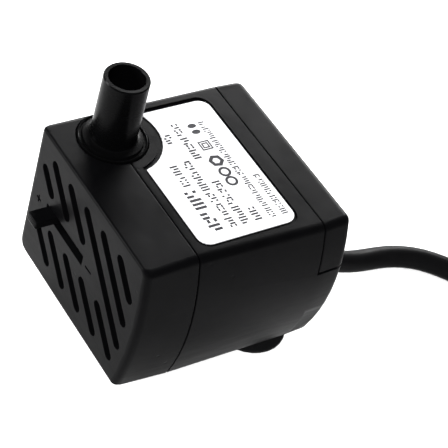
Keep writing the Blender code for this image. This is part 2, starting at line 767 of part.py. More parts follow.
def make_stator(iron, nylon, copper, tin):
    core = plate("stator_core", core_outline(0), "Z", *CORE_Z, iron)
    cut(core, rod("pole_bore", "Y", (AXIS_X, -0.01, AXIS_Z), 0.0236, POLE_RADIUS + 0.0001, sides=48))
    room = 0.00025
    tube_y = (YOKE_Y[0] - room - 0.0006, YOKE_Y[1] + room + 0.0006)
    tube_z = (CORE_Z[0] - room - 0.0006, CORE_Z[1] + room + 0.0006)
    flange_y = (0.0142, 0.0239)
    end = COIL_HALF_WIDTH + GAP + 0.0008
    bobbin = block("coil_bobbin", (-end, end), tube_y, tube_z, nylon)
    left = (-end, -end + 0.0008)
    join(
        bobbin,
        block("flange_left", left, flange_y, (0.0114, 0.0291)),
        block("flange_right", (-left[1], -left[0]), flange_y, (0.0125, 0.0291)),
        block("terminal_block", (-end, -0.0036), (0.0142, 0.0160), (0.0114, 0.0124)),
    )
    through = block(
        "bobbin_bore",
        (-0.02, 0.02),
        (YOKE_Y[0] - room, YOKE_Y[1] + room),
        (CORE_Z[0] - room, CORE_Z[1] + room),
    )
    cut(bobbin, through)
    winding = block(
        "coil_winding", (-COIL_HALF_WIDTH, COIL_HALF_WIDTH), (0.0144, 0.0238), (0.0127, 0.0289), copper
    )
    bevel = winding.modifiers.new("corners", "BEVEL")
    bevel.width = 0.0012
    bevel.segments = 3
    core_y = (tube_y[0] - room, tube_y[1] + room)
    core_z = (tube_z[0] - room, tube_z[1] + room)
    cut(winding, block("winding_bore", (-0.02, 0.02), core_y, core_z))
    for name, x in (("bobbin_pin_live", -0.0048), ("bobbin_pin_neutral", -0.0072)):
        rod(name, "Z", (x, 0.0152, 0.0096), 0.0027, 0.0003, tin, sides=12)
        cut(bobbin, rod("hole_" + name, "Z", (x, 0.0152, 0.0110), 0.002, 0.0005, sides=12))


def make_leads(vinyl):
    live = [
        (0.0060, 0.0164, 0.0096),
        (0.0045, 0.0156, 0.0099),
        (0.0010, 0.0152, 0.0102),
        (-0.0025, 0.0152, 0.0103),
        (-0.0040, 0.0152, 0.0103),
    ]
    neutral = [
        (0.0074, 0.0164, 0.0084),
        (0.0055, 0.0154, 0.0082),
        (0.0, 0.0149, 0.0084),
        (-0.0045, 0.0149, 0.0088),
        (-0.0064, 0.0152, 0.0094),
    ]
    for name, points in (("lead_wire_live", live), ("lead_wire_neutral", neutral)):
        tube(name, smooth_line(points, 0.0012), 0.0005, vinyl[name], resolution=2)


def make_potting(resin):
    """The resin fills the motor's cavity round the well, the core, the coil and the leads."""
    inset = WALL + GAP
    potting = body_shell(
        "potting_compound", BULKHEAD_REAR + GAP, 0, BODY_REAR - inset, 0, resin, inset=inset
    )
    around = POLE_RADIUS + 0.0001
    cut(
        potting,
        rod("well_in_resin", "Y", (AXIS_X, -0.006, AXIS_Z), 0.0191, around, sides=48),
        rod("boss_in_resin", "Y", (AXIS_X, 0.0, AXIS_Z), 0.0142, BUSH_POCKET + 0.0012),
        plate("core_in_resin", core_outline(GAP), "Z", CORE_Z[0] - GAP, CORE_Z[1] + GAP),
        block("coil_in_resin", (-0.0090, 0.0090), (0.0139, 0.03), (0.0111, 0.0294)),
        block("leads_in_resin", (-0.0085, 0.0100), (0.0135, 0.0171), (0.0074, 0.0125)),
        rod("relief_in_resin", "Y", (EXIT[0], 0.0164, EXIT[2]), 0.0120, EXIT_HOLE + 0.0001, sides=24),
        *[
            rod(f"foot_in_resin_{n}", "Z", (x, y, 0.003), BOSS_TOP + GAP - 0.003, BOSS_RADIUS + GAP, sides=24)
            for n, (x, y) in enumerate(FEET.values())
        ],
    )


def make_feet(rubber):
    neck = BODY_BOTTOM - GAP
    profile = [
        (0, STUD_TOP),
        (STUD_RADIUS - 0.0004, STUD_TOP),
        (STUD_RADIUS, STUD_TOP - 0.0005),
        (STUD_RADIUS, neck),
        (0.0036, neck),
        (0.0042, neck - 0.0007),
        (0.0058, 0.0019),
        (0.0076, 0.0010),
        (FOOT_RADIUS, 0.0006),
        (FOOT_RADIUS, 0),
        (FOOT_RADIUS - 0.0009, 0),
        (0.0060, 0.0007),
        (0.0035, 0.0013),
        (0, 0.0016),
    ]
    for name, (x, y) in FEET.items():
        turned(name, "Z", (x, y, 0), profile, rubber, steps=28)


def make_cord(rubber, vinyl, tie):
    relief = [point[:3] for point in RELIEF]
    tube("strain_relief", relief, CORD_RADIUS, rubber, radii=[point[3] for point in RELIEF])
    clear = COIL_TURN_RADIUS + COIL_SIDE / 2 + CORD_RADIUS + GAP
    centre = Vector((COIL_X, COIL_Y, 0))
    run = smooth_line(CORD_ROUTE, 2 * CORD_RADIUS)
    run = [p for p in run if (Vector((p.x, p.y, 0)) - centre).length > clear + 0.0002]
    tube("cord_run", run, CORD_RADIUS, vinyl)
    top_turn = arc((COIL_X, COIL_Y), COIL_TURN_RADIUS, *TOP_TURN, 10)
    tail = [(x, y, TOP_HEIGHT) for x, y in top_turn] + list(TAIL_ROUTE)
    tube("cord_tail", smooth_line(tail, 2.2 * CORD_RADIUS), CORD_RADIUS, vinyl)

    half = COIL_SIDE / 2
    corner = COIL_ROUND
    across = rounded_rectangle(half, half, corner, 2)[::-1]
    profile = [(COIL_TURN_RADIUS + x, half + y) for x, y in across]
    coil = turned("cord_coil", "Z", (COIL_X, COIL_Y, 0), profile, vinyl, steps=44, ring=True)
    at = Matrix.Translation((COIL_X, COIL_Y, 0)) @ Matrix.Rotation(math.radians(TIE_ANGLE), 4, "Z")
    inner = COIL_TURN_RADIUS - half
    outer = COIL_TURN_RADIUS + half
    thin = TIE_THICKNESS + 0.0001
    band = block("cord_tie", (inner, outer), (-TIE_WIDTH / 2, TIE_WIDTH / 2), (0.0001, COIL_SIDE), tie)
    hole = (inner + TIE_THICKNESS, outer - TIE_THICKNESS)
    through = block("tie_hole", hole, (-0.01, 0.01), (thin, COIL_SIDE - TIE_THICKNESS))
    wide = (-TIE_WIDTH / 2 - GAP, TIE_WIDTH / 2 + GAP)
    groove = block("tie_groove", (inner - 0.01, outer + 0.01), wide, (-0.01, COIL_SIDE + 0.01))
    core = block(
        "tie_core", (hole[0] + GAP, hole[1] - GAP), (-0.02, 0.02), (thin + GAP, COIL_SIDE - thin - GAP)
    )
    for piece in (band, through, groove, core):
        piece.data.transform(at)
    cut(band, through)
    cut(groove, core)
    cut(coil, groove)


def make_plug(vinyl, nickel):
    rings = []
    for along, half_width, half_height, radius in PLUG_SECTIONS:
        outline = rounded_rectangle(half_width, half_height, radius)
        rings.append([(PLUG_X - along, PLUG_Y + y, PLUG_Z + z) for y, z in outline])
    loft("plug_body", rings, vinyl)
    base = PLUG_X - PLUG_SECTIONS[-1][0] - GAP
    for name, side in (("plug_blade_left", -1), ("plug_blade_right", 1)):
        y = PLUG_Y + side * BLADE_SPACING / 2
        low = PLUG_Z - BLADE_WIDTH / 2
        blade = block(
            name,
            (base - BLADE_LENGTH, base),
            (y - BLADE_THICKNESS / 2, y + BLADE_THICKNESS / 2),
            (low, low + BLADE_WIDTH),
            nickel,
        )
        bevel = blade.modifiers.new("edges", "BEVEL")
        bevel.width = 0.0004
        bevel.segments = 2
        hole = (base - BLADE_LENGTH + 0.0035, y - 0.002, PLUG_Z)
        cut(blade, rod("hole_" + name, "Y", hole, 0.004, 0.0015, sides=20))


clear_scene()
parts = collection("fountain_pump")
cutters = collection("fountain_pump_cutters")

black = material("black_abs", (0.018, 0.018, 0.020), 0.42)
gloss = material("gloss_abs", (0.014, 0.014, 0.016), 0.25)
soft = material("black_rubber", (0.012, 0.012, 0.012), 0.60)
cord_vinyl = material("cord_vinyl", (0.012, 0.012, 0.013), 0.32)
paper = material("label_white", (0.86, 0.86, 0.87), 0.50)
white_nylon = material("white_nylon", (0.75, 0.74, 0.70), 0.50)
magnet_black = material("ferrite", (0.035, 0.035, 0.038), 0.45)
shaft_steel = material("shaft_steel", (0.62, 0.62, 0.62), 0.20, 1.0)
core_iron = material("core_iron", (0.22, 0.22, 0.23), 0.45, 1.0)
coil_copper = material("coil_copper", (0.60, 0.25, 0.11), 0.30, 1.0)
pin_tin = material("pin_tin", (0.70, 0.70, 0.68), 0.30, 1.0)
resin_black = material("potting_resin", (0.020, 0.020, 0.020), 0.30)
lead_colours = {
    "lead_wire_live": material("brown_vinyl", (0.13, 0.05, 0.02), 0.40),
    "lead_wire_neutral": material("blue_vinyl", (0.02, 0.08, 0.35), 0.40),
}
tie_black = material("tie_black", (0.03, 0.03, 0.03), 0.55)
blade_nickel = material("blade_nickel", (0.72, 0.70, 0.66), 0.25, 1.0)

outlet = (NOZZLE_X, NOZZLE_Y)
outlet_pad = rod("outlet_pad", "Z", (*outlet, PAD_BOTTOM), 0.01, PAD_RADIUS)
outlet_notch = rod("outlet_notch", "Z", (*outlet, NOTCH_FLOOR), 0.01, NOTCH_RADIUS, sides=48)
outlet_hole = rod("outlet_hole", "Z", (*outlet, PAD_BOTTOM - 0.002), 0.01, SEAT_HOLE)

make_cover(black)
make_regulator(black)
make_cap(black)
make_housing(black)
make_nozzle(gloss)
label = label_outline(LABEL_X, LABEL_Y, LABEL_ROUND, LABEL_ARC)
label_floor = BODY_TOP - RECESS_DEPTH + 0.00005
plate("rating_label", label, "Z", label_floor, label_floor + LABEL_THICKNESS, paper)
make_chamber(black)
make_rotor(white_nylon, magnet_black, white_nylon)
make_bearings(shaft_steel, soft)
make_stator(core_iron, white_nylon, coil_copper, pin_tin)
make_leads(lead_colours)
make_potting(resin_black)
make_feet(soft)
make_cord(soft, cord_vinyl, tie_black)
make_plug(cord_vinyl, blade_nickel)
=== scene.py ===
"""The looks of a small submersible fountain pump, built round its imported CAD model.

Everything is in metres in the model's own frame: +Z up, the strainer face at -Y, the cord
leaving towards +Y.
"""

import math
import random

import bmesh
import bpy
from mathutils import Matrix, Vector


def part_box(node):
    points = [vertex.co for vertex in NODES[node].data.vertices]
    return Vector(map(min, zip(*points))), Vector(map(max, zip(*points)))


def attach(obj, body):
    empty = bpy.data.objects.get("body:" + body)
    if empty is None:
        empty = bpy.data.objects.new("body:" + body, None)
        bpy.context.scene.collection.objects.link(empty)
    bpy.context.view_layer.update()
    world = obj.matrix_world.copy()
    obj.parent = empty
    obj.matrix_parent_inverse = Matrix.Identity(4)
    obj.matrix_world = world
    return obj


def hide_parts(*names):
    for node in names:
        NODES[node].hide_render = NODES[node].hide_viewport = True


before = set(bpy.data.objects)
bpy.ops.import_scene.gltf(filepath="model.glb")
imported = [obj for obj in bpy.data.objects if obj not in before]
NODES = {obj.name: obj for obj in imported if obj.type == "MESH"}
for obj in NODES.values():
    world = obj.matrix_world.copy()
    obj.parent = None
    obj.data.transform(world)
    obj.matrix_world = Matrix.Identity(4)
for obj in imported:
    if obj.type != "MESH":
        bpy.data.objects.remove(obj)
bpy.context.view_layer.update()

# The cord leaves the housing, comes out of its relief, runs over the floor to the coil, and goes
# from the coil's top turn into the plug
CORD_RADIUS = 0.0025
EXIT = (0.0068, 0.02615, 0.0090)
RELIEF_ROUTE = (
    EXIT,
    (0.0068, 0.0285, 0.0089),
    (0.0069, 0.0312, 0.0087),
    (0.0070, 0.0344, 0.0081),
)
CORD_ROUTE = (
    (0.00712, 0.0374, 0.0071),
    (0.00735, 0.0408, 0.0058),
    (0.00755, 0.0443, 0.0045),
    (0.00760, 0.0475, 0.0036),
    (0.00760, 0.0508, 0.0029),
    (0.00785, 0.0541, 0.0026),
    (0.00860, 0.0575, 0.0025),
    (0.01000, 0.0608, 0.0025),
    (0.01230, 0.0643, 0.0025),
    (0.01620, 0.0680, 0.0025),
    (0.02150, 0.0719, 0.0025),
    (0.02730, 0.0757, 0.0025),
    (0.03320, 0.0795, 0.0025),
    (0.03900, 0.0838, 0.0025),
)
TAIL_ROUTE = (
    (0.0491, 0.1150, 0.0178),
    (0.0482, 0.1200, 0.0179),
    (0.0462, 0.1250, 0.0182),
    (0.0430, 0.1297, 0.0189),
    (0.0388, 0.1333, 0.0201),
    (0.0340, 0.1353, 0.0215),
    (0.0283, 0.1362, 0.0226),
    (0.0262, 0.1363, 0.0228),
)

# The coil: its middle, the turns side by side in a layer, the layers and the loose turns on top.
# Angles are in degrees from +X.
COIL = (0.0215, 0.1128)
TURN_RADII = (0.0230, 0.0280, 0.0330)
LAYER_HEIGHTS = (0.0025, 0.0075, 0.0125)
TOP_HEIGHT = 0.0177
TOP_TURN_END = 350.0
WHOLE_TURNS = 8
JOIN_ANGLE = 14  # the coil begins this far past the end of the run over the floor
POINT_ANGLE = 6

# The tie draws the turns under it together, towards the middle of the bundle
TIE_ANGLE = 165.0
BUNDLE_HEIGHT = 0.00755
PINCH = 0.16
PINCH_ANGLE = 30

# The tongue inside the lid, as low and high X, Y and Z
LIP_X = (-0.0195, 0.0185)
LIP_Y = (0.0240, 0.0245)
LIP_Z = (0.0246, 0.0275)

# The angle between two triangles from which their edge is a real one
SHARP_ANGLE = 32

CAMERA_PLACE = (0.17838, -0.16227, 0.25644)
CAMERA_AZIMUTH = 45.632
CAMERA_ELEVATION = 43.448
CAMERA_ROLL = 18.050
CAMERA_LENS = 132.9

PRINT_THICKNESS = 0.00002
FLOOR_SIZE = 6.0
FLOOR_DROP = 0.0002
# The floor's colour is darkened between these distances from the pump, painted shade standing in
# for less light falling far away
PAINTED_SHADE_FROM = 0.24
PAINTED_SHADE_TO = 0.60


# ---------------------------------------------------------------- camera


def make_camera():
    """Above the corner between the strainer face and the bowed side, rolled a little."""
    azimuth = math.radians(CAMERA_AZIMUTH)
    elevation = math.radians(CAMERA_ELEVATION)
    roll = math.radians(CAMERA_ROLL)
    back = Vector(
        (
            math.sin(azimuth) * math.cos(elevation),
            -math.cos(azimuth) * math.cos(elevation),
            math.sin(elevation),
        )
    )
    level = (-back).cross(Vector((0, 0, 1))).normalized()
    upright = level.cross(-back)
    right = math.cos(roll) * level + math.sin(roll) * upright
    up = -math.sin(roll) * level + math.cos(roll) * upright
    place = Matrix((right, up, back)).transposed().to_4x4()
    place.translation = CAMERA_PLACE
    data = bpy.data.cameras.new("camera")
    data.sensor_width = 36
    data.lens = CAMERA_LENS
    data.clip_start = 0.01
    data.clip_end = 20
    camera = bpy.data.objects.new("camera", data)
    camera.matrix_world = place
    bpy.context.scene.collection.objects.link(camera)
    bpy.context.scene.camera = camera


# ---------------------------------------------------------------- shapes


def add_object(name, data, body="pump"):
    obj = bpy.data.objects.new(name, data)
    bpy.context.scene.collection.objects.link(obj)
    if body:
        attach(obj, body)
    return obj


def mesh_object(name, bm, finish, body="pump"):
    bmesh.ops.recalc_face_normals(bm, faces=bm.faces)
    mesh = bpy.data.meshes.new(name)
    bm.to_mesh(mesh)
    bm.free()
    mesh.materials.append(finish)
    return add_object(name, mesh, body)


def flat_shape(bm, outline, low, high):
    """A flat outline given a little thickness."""
    bottom = [bm.verts.new((x, y, low)) for x, y in outline]
    top = [bm.verts.new((x, y, high)) for x, y in outline]
    bm.faces.new(bottom[::-1])
    bm.faces.new(top)
    count = len(outline)
    for i in range(count):
        j = (i + 1) % count
        bm.faces.new((bottom[i], bottom[j], top[j], top[i]))


def bar(bm, x, y, low, high):
    """A level bar between two X and two Y."""
    flat_shape(bm, [(x[0], y[0]), (x[1], y[0]), (x[1], y[1]), (x[0], y[1])], low, high)


def smooth_line(points, spacing):
    """Points at even steps along one smooth curve through all the given points."""
    knots = [Vector(point) for point in points]
    knots = [2 * knots[0] - knots[1], *knots, 2 * knots[-1] - knots[-2]]
    fine = []
    for a, b, c, d in zip(knots, knots[1:], knots[2:], knots[3:]):
        for i in range(24):
            t = i / 24
            bend = 2 * a - 5 * b + 4 * c - d
            twist = 3 * b - a - 3 * c + d
            fine.append((2 * b + (c - a) * t + bend * t**2 + twist * t**3) / 2)
    fine.append(knots[-2])
    length = sum((q - p).length for p, q in zip(fine, fine[1:]))
    count = max(2, round(length / spacing))
    line = [fine[0]]
    walked = 0.0
    for p, q in zip(fine, fine[1:]):
        step = (q - p).length
        while len(line) < count and walked + step >= length * len(line) / count:
            line.append(p.lerp(q, (length * len(line) / count - walked) / step))
        walked += step
    return [*line, fine[-1]]


def ease(value, start, end):
    """From 0 to 1 along two arcs, the gentlest bend there and back."""
    share = min(1.0, max(0.0, (value - start) / (end - start)))
    return 2 * share**2 if share < 0.5 else 1 - 2 * (1 - share) ** 2


# ---------------------------------------------------------------- cord


def coil_moves():
    """Where the cord changes radius or layer, in degrees from its first turn.

    Each move is (start, end, radius, height), the last two being what it arrives at. A layer is
    three turns side by side, and the climb to the next one comes at the end of the third.
    """
    low, middle, high = LAYER_HEIGHTS
    inner, centre, outer = TURN_RADII
    shift = 100  # the angle over which the cord moves aside by one turn
    moves = []

    def move_aside(start, radii, height):
        for turn, radius in enumerate(radii):
            begin = start + 360 * turn
            moves.append((begin, begin + shift, radius, height))

    move_aside(200, (centre, inner), low)
    second_layer = 200 + 720
    moves.append((second_layer - 75, second_layer, inner, middle))
    move_aside(second_layer + 185, (centre, outer), middle)
    third_layer = second_layer + 185 + 720
    moves.append((third_layer - 50, third_layer, outer, high))
    move_aside(third_layer + 210, (centre, inner), high)
    moves.append((third_layer + 915, third_layer + 990, inner, TOP_HEIGHT))
    moves.append((third_layer + 1160, third_layer + 1280, centre, TOP_HEIGHT))
    return moves


def coil_points(start):
    """The turns: from the outside in, then out, then in again, and one and a half on top."""
    end = TOP_TURN_END + 360 * WHOLE_TURNS
    moves = coil_moves()
    points = []
    steps = int((end - start) / POINT_ANGLE)
    for i in range(steps + 1):
        angle = start + (end - start) * i / steps
        radius, height = TURN_RADII[-1], LAYER_HEIGHTS[0]
        for begin, finish, to_radius, to_height in moves:
            share = ease(angle - start, begin, finish)
            radius += (to_radius - radius) * share
            height += (to_height - height) * share
        from_tie = (angle - TIE_ANGLE + 180) % 360 - 180
        above = max(0.0, height - LAYER_HEIGHTS[-1]) / (TOP_HEIGHT - LAYER_HEIGHTS[-1])
        kept = 1 - PINCH * (1 - above) * math.exp(-((from_tie / PINCH_ANGLE) ** 2))
        radius = TURN_RADII[1] + (radius - TURN_RADII[1]) * kept
        height = BUNDLE_HEIGHT + (height - BUNDLE_HEIGHT) * kept
        turn = math.radians(angle)
        x = COIL[0] + radius * math.cos(turn)
        y = COIL[1] + radius * math.sin(turn)
        points.append((x, y, height))
    return points


def make_cord(finish):
    """One length of flex from the housing to the plug."""
    joining = CORD_ROUTE[-1]
    start = math.degrees(math.atan2(joining[1] - COIL[1], joining[0] - COIL[0])) + JOIN_ANGLE
    route = [*RELIEF_ROUTE, *CORD_ROUTE, *coil_points(start), *TAIL_ROUTE]
    line = smooth_line(route, 0.0022)
    curve = bpy.data.curves.new("mains_cord", "CURVE")
    curve.dimensions = "3D"
    curve.bevel_depth = CORD_RADIUS
    curve.bevel_resolution = 7
    curve.use_fill_caps = True
    spline = curve.splines.new("POLY")
    spline.points.add(len(line) - 1)
    for point, place in zip(spline.points, line):
        point.co = (*place, 1)
    spline.use_smooth = True
    curve.materials.append(finish)
    cord = add_object("mains_cord", curve)
    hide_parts("cord_run", "cord_coil", "cord_tail")


# ---------------------------------------------------------------- materials


class Shader:
    """A material that is being built, with short ways to add its nodes."""

    def __init__(self, name, roughness, metallic=0.0, specular=0.5, coat=0.0):
        self.material = bpy.data.materials.new(name)
        self.material.use_nodes = True
        self.tree = self.material.node_tree
        self.surface = self.tree.nodes["Principled BSDF"]
        self.surface.inputs["Roughness"].default_value = roughness
        self.surface.inputs["Metallic"].default_value = metallic
        self.surface.inputs["Specular IOR Level"].default_value = specular
        self.surface.inputs["Coat Weight"].default_value = coat
        coordinates = self.tree.nodes.new("ShaderNodeTexCoord")
        self.place = coordinates.outputs["Object"]
        self.normal = None

    def link(self, source, target):
        self.tree.links.new(source, target)

    def stretched(self, scale, turn=(0, 0, 0)):
        mapping = self.tree.nodes.new("ShaderNodeMapping")
        mapping.inputs["Scale"].default_value = scale
        mapping.inputs["Rotation"].default_value = turn
        self.link(self.place, mapping.inputs["Vector"])
        return mapping.outputs["Vector"]

    def noise(self, scale, detail=2.0, rough=0.5, place=None):
        node = self.tree.nodes.new("ShaderNodeTexNoise")
        node.inputs["Scale"].default_value = scale
        node.inputs["Detail"].default_value = detail
        node.inputs["Roughness"].default_value = rough
        self.link(place or self.place, node.inputs["Vector"])
        return node.outputs["Fac"]

    def cells(self, scale):
        node = self.tree.nodes.new("ShaderNodeTexVoronoi")
        node.inputs["Scale"].default_value = scale
        self.link(self.place, node.inputs["Vector"])
        return node.outputs["Distance"]

    def bands(self, scale, direction, distortion=0.0):
        node = self.tree.nodes.new("ShaderNodeTexWave")
        node.bands_direction = direction
        node.inputs["Scale"].default_value = scale
        node.inputs["Distortion"].default_value = distortion
        self.link(self.place, node.inputs["Vector"])
        return node.outputs["Fac"]

    def spread(self, value, low, high, to_low, to_high):
        """The value, with low to high stretched or pressed to to_low to to_high."""
        node = self.tree.nodes.new("ShaderNodeMapRange")
        for name, number in (
            ("From Min", low),
            ("From Max", high),
            ("To Min", to_low),
            ("To Max", to_high),
        ):
            node.inputs[name].default_value = number
        self.link(value, node.inputs["Value"])
        return node.outputs["Result"]

    def mixed(self, share, first, second):
        """Between two colours, each a tuple or another node's output."""
        node = self.tree.nodes.new("ShaderNodeMix")
        node.data_type = "RGBA"
        self.link(share, node.inputs["Factor"])
        for socket, value in ((node.inputs["A"], first), (node.inputs["B"], second)):
            if isinstance(value, tuple):
                socket.default_value = (*value, 1)
            else:
                self.link(value, socket)
        return node.outputs["Result"]

    def colour(self, value):
        self.link(value, self.surface.inputs["Base Color"])

    def roughness(self, value):
        self.link(value, self.surface.inputs["Roughness"])

    def bump(self, height, distance, strength):
        """A relief on top of those already there."""
        node = self.tree.nodes.new("ShaderNodeBump")
        node.inputs["Distance"].default_value = distance
        node.inputs["Strength"].default_value = strength
        self.link(height, node.inputs["Height"])
        if self.normal:
            self.link(self.normal, node.inputs["Normal"])
        self.normal = node.outputs["Normal"]
        self.link(self.normal, self.surface.inputs["Normal"])


def scaled(colour, factor):
    return tuple(channel * factor for channel in colour)


def moulded_plastic(
    name, colour, roughness, specular, grain=0.00002, pits=True, variation=0.22
):
    """Moulded plastic: a fine grain, faint clouds of colour and gloss, a few scuffs and pits."""
    shader = Shader(name, roughness, specular=specular)
    clouds = shader.noise(160, 4.0, 0.55)
    speckle = shader.noise(2600, 2.0, 0.6)
    dark = scaled(colour, 1 - variation)
    light = scaled(colour, 1 + variation)
    base = shader.mixed(shader.spread(clouds, 0.3, 0.7, 0.0, 1.0), dark, light)
    dust = shader.spread(speckle, 0.72, 0.80, 0.0, 0.35)
    shader.colour(shader.mixed(dust, base, scaled(colour, 2.2)))
    scuffs = shader.noise(90, 6.0, 0.7, shader.stretched((1, 1, 9), (0.5, 0.3, 0.8)))
    rough = shader.spread(scuffs, 0.35, 0.75, roughness - 0.05, roughness + 0.09)
    shader.roughness(rough)
    shader.bump(shader.noise(1900, 3.0, 0.6), grain, 0.5)
    shader.bump(shader.noise(210, 2.0, 0.5), 0.00006, 0.35)
    if pits:
        hollow = shader.spread(shader.cells(150), 0.03, 0.075, 0.0, 1.0)
        shader.bump(hollow, 0.00008, 0.5)
    return shader.material


def rubber(name, colour, roughness, specular):
    """Soft rubber: a dull skin with a fine, uneven bloom."""
    shader = Shader(name, roughness, specular=specular)
    bloom = shader.noise(420, 5.0, 0.6)
    shader.colour(shader.mixed(bloom, scaled(colour, 0.7), scaled(colour, 1.7)))
    shader.roughness(shader.spread(bloom, 0.3, 0.7, roughness - 0.08, roughness + 0.08))
    shader.bump(shader.noise(1500, 3.0, 0.6), 0.00003, 0.5)
    return shader.material


def vinyl(name, colour, roughness, specular):
    """Extruded vinyl: glossy, with a faint ripple and scuffed patches."""
    shader = Shader(name, roughness, specular=specular)
    clouds = shader.noise(230, 3.0, 0.5)
    shader.colour(shader.mixed(clouds, scaled(colour, 0.8), scaled(colour, 1.25)))
    scuffs = shader.noise(700, 5.0, 0.65)
    shader.roughness(shader.spread(scuffs, 0.35, 0.75, roughness - 0.04, roughness + 0.12))
    shader.bump(shader.noise(260, 2.0, 0.4), 0.00008, 0.25)
    shader.bump(shader.noise(2400, 2.0, 0.5), 0.00001, 0.4)
    return shader.material


def metal(name, colour, roughness, stretch=(1, 1, 1), line_scale=900):
    """Bare metal with fine lines left by how it was made."""
    shader = Shader(name, roughness, metallic=1.0)
    lines = shader.noise(line_scale, 4.0, 0.6, shader.stretched(stretch))
    shader.colour(shader.mixed(lines, scaled(colour, 0.78), scaled(colour, 1.12)))
    shader.roughness(shader.spread(lines, 0.3, 0.7, roughness - 0.06, roughness + 0.1))
    shader.bump(lines, 0.00001, 0.5)
    return shader.material


def laminations():
    """Stacked sheets of dull iron, seen as fine level lines."""
    shader = Shader("core_iron", 0.5, metallic=1.0)
    sheets = shader.bands(640, "Z")
    rust = shader.noise(600, 5.0, 0.6)
    iron = shader.mixed(sheets, (0.10, 0.10, 0.105), (0.26, 0.26, 0.27))
    rusty = shader.spread(rust, 0.6, 0.75, 0.0, 0.5)
    shader.colour(shader.mixed(rusty, iron, (0.16, 0.09, 0.05)))
    shader.roughness(shader.spread(rust, 0.3, 0.7, 0.40, 0.62))
    shader.bump(sheets, 0.00004, 0.6)
    return shader.material


def windings():
    """Enamelled wire wound side by side round the bobbin."""
    shader = Shader("coil_copper", 0.3, metallic=0.9, coat=0.4)
    wires = shader.bands(1300, "X", 0.4)
    shine = shader.noise(500, 3.0, 0.5)
    copper = shader.mixed(wires, (0.20, 0.07, 0.02), (0.62, 0.26, 0.10))
    glazed = shader.spread(shine, 0.4, 0.7, 0.0, 0.35)
    shader.colour(shader.mixed(glazed, copper, (0.42, 0.13, 0.05)))
    shader.roughness(shader.spread(shine, 0.3, 0.7, 0.22, 0.38))
    shader.bump(wires, 0.00008, 0.8)
    return shader.material


def printed_film(name, colour, roughness):
    """The label's white film, very slightly uneven."""
    shader = Shader(name, roughness, specular=0.06)
    fibres = shader.noise(900, 4.0, 0.6)
    shader.colour(shader.mixed(fibres, scaled(colour, 0.97), scaled(colour, 1.03)))
    shader.roughness(shader.spread(fibres, 0.3, 0.7, roughness - 0.06, roughness + 0.06))
    shader.bump(shader.noise(120, 2.0, 0.5), 0.00004, 0.3)
    return shader.material


def ink():
    """Dark print with soft, slightly broken edges of tone."""
    shader = Shader("label_ink", 0.5, specular=0.03)
    patches = shader.noise(2200, 3.0, 0.6)
    shader.colour(shader.mixed(patches, (0.012, 0.012, 0.014), (0.034, 0.034, 0.038)))
    shader.roughness(shader.spread(patches, 0.3, 0.7, 0.42, 0.6))
    return shader.material


# ---------------------------------------------------------------- CAD nodes


def shading_group():
    """Joins the triangles of a CAD mesh for shading, and keeps its real edges sharp."""
    tree = bpy.data.node_groups.new("smooth_by_angle", "GeometryNodeTree")
    tree.interface.new_socket("Geometry", in_out="INPUT", socket_type="NodeSocketGeometry")
    tree.interface.new_socket("Geometry", in_out="OUTPUT", socket_type="NodeSocketGeometry")
    start = tree.nodes.new("NodeGroupInput")
    merge = tree.nodes.new("GeometryNodeMergeByDistance")
    merge.inputs["Distance"].default_value = 0.000001
    smooth = tree.nodes.new("GeometryNodeSetShadeSmooth")
    smooth.domain = "FACE"
    edge = tree.nodes.new("GeometryNodeInputMeshEdgeAngle")
    compare = tree.nodes.new("FunctionNodeCompare")
    compare.operation = "GREATER_THAN"
    compare.inputs[1].default_value = math.radians(SHARP_ANGLE)
    sharp = tree.nodes.new("GeometryNodeSetShadeSmooth")
    sharp.domain = "EDGE"
    sharp.inputs["Shade Smooth"].default_value = False
    end = tree.nodes.new("NodeGroupOutput")
    tree.links.new(start.outputs[0], merge.inputs["Geometry"])
    tree.links.new(merge.outputs[0], smooth.inputs[0])
    tree.links.new(edge.outputs["Unsigned Angle"], compare.inputs[0])
    tree.links.new(smooth.outputs[0], sharp.inputs[0])
    tree.links.new(compare.outputs[0], sharp.inputs["Selection"])
    tree.links.new(sharp.outputs[0], end.inputs[0])
    return tree


def dress(finishes):
    """Gives every CAD node its finish and its shading."""
    group = shading_group()
    for name, obj in NODES.items():
        obj.data.materials.clear()
        obj.data.materials.append(finishes[name])
        kept = obj.data.attributes.get("custom_normal")
        if kept:
            obj.data.attributes.remove(kept)
        change = obj.modifiers.new("shading", "NODES")
        change.node_group = group
        even = obj.modifiers.new("flat_faces", "WEIGHTED_NORMAL")
        even.keep_sharp = True


# ---------------------------------------------------------------- lid and label


def make_cap_lip(finish):
    """The tongue inside the lid's rear edge that closes the seam over the ledge."""
    bm = bmesh.new()
    bar(bm, LIP_X, LIP_Y, *LIP_Z)
    lip = mesh_object("cap_lip", bm, finish)


def ring(bm, centre, outer, inner, low, high, sides, turn=0.0):
    """A flat ring, or a frame where it has few sides."""
    angles = [turn + 2 * math.pi * i / sides for i in range(sides)]
    rows = []
    for radius, height in ((outer, low), (outer, high), (inner, high), (inner, low)):
        row = []
        for a in angles:
            x = centre[0] + radius * math.cos(a)
            y = centre[1] + radius * math.sin(a)
            row.append(bm.verts.new((x, y, height)))
        rows.append(row)
    for row, following in zip(rows, rows[1:] + rows[:1]):
        for i in range(sides):
            j = (i + 1) % sides
            bm.faces.new((row[i], row[j], following[j], following[i]))


